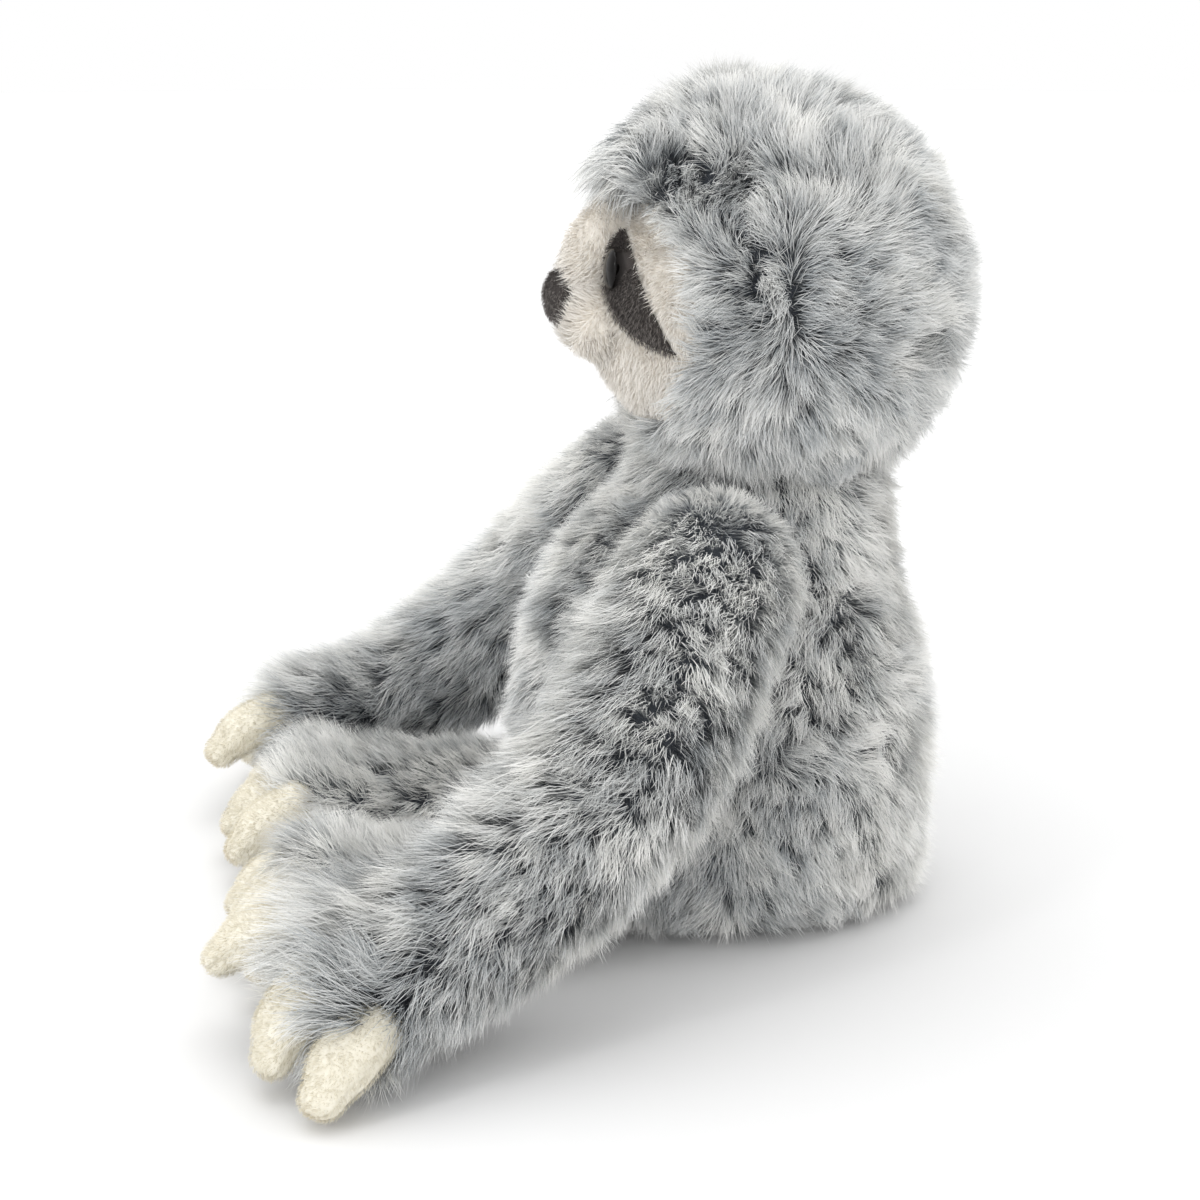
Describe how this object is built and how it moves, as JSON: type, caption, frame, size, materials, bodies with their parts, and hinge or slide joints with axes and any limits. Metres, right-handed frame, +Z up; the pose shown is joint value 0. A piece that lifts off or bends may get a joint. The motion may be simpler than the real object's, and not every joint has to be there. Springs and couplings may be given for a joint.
{
  "type": "plush sloth",
  "caption": "Seated plush sloth with long frosted fur, a short-pile face, curved soft claws, and a head, arms and legs that pose.",
  "frame": {"origin": "middle of the flat underside of the seat, on the surface it sits on", "axes": "+Z up, -Y the way it faces, +X its own left side"},
  "size_m": [0.3436, 0.2667, 0.289],
  "materials": {
    "fur_grey": "long frosted pile",
    "fur_pale": "long frosted pile",
    "cream_pile": "short pile",
    "dark_pile": "short pile",
    "claw_pile": "short pile",
    "eye_plastic": "polished",
    "washer_plastic": "moulded",
    "filling": "loose polyester fibre",
    "bag_cloth": "plain weave"
  },
  "bodies": {
    "torso": {"belly_panel": "fur_pale", "back_panel_left": "fur_grey", "back_panel_right": "fur_grey", "seat_panel": "fur_grey", "torso_filling": "filling", "pellet_bag": "bag_cloth"},
    "head": {"head_panel_left": "fur_grey", "head_panel_right": "fur_grey", "head_gusset": "fur_grey", "face_panel": "cream_pile", "muzzle": "cream_pile", "nose": "dark_pile", "eye_patch_left": "dark_pile", "eye_patch_right": "dark_pile", "eye_left": "eye_plastic", "eye_right": "eye_plastic", "eye_washer_left": "washer_plastic", "eye_washer_right": "washer_plastic", "head_filling": "filling"},
    "arm_left": {"arm_skin_left": "fur_grey", "arm_filling_left": "filling", "hand_claw_left_inner": "claw_pile", "hand_claw_left_middle": "claw_pile", "hand_claw_left_outer": "claw_pile"},
    "arm_right": {"arm_skin_right": "fur_grey", "arm_filling_right": "filling", "hand_claw_right_inner": "claw_pile", "hand_claw_right_middle": "claw_pile", "hand_claw_right_outer": "claw_pile"},
    "leg_left": {"leg_skin_left": "fur_grey", "leg_filling_left": "filling", "foot_claw_left_inner": "claw_pile", "foot_claw_left_middle": "claw_pile", "foot_claw_left_outer": "claw_pile"},
    "leg_right": {"leg_skin_right": "fur_grey", "leg_filling_right": "filling", "foot_claw_right_inner": "claw_pile", "foot_claw_right_middle": "claw_pile", "foot_claw_right_outer": "claw_pile"}
  },
  "joints": [
    {"name": "neck_nod", "type": "hinge", "parent": "torso", "child": "head", "pos_m": [0, 0.014, 0.15], "axis": [1, 0, 0], "range_deg": [-12, 12]},
    {"name": "shoulder_left", "type": "hinge", "parent": "torso", "child": "arm_left", "pos_m": [0.069, -0.019, 0.134], "axis": [-0.944, -0.116, -0.309], "range_deg": [0, 80]},
    {"name": "shoulder_right", "type": "hinge", "parent": "torso", "child": "arm_right", "pos_m": [-0.069, -0.019, 0.134], "axis": [-0.944, 0.116, 0.309], "range_deg": [0, 80]},
    {"name": "hip_left", "type": "hinge", "parent": "torso", "child": "leg_left", "pos_m": [0.04, -0.056, 0.0235], "axis": [-1, 0, 0], "range_deg": [0, 40]},
    {"name": "hip_right", "type": "hinge", "parent": "torso", "child": "leg_right", "pos_m": [-0.04, -0.056, 0.0235], "axis": [-1, 0, 0], "range_deg": [0, 40]}
  ]
}
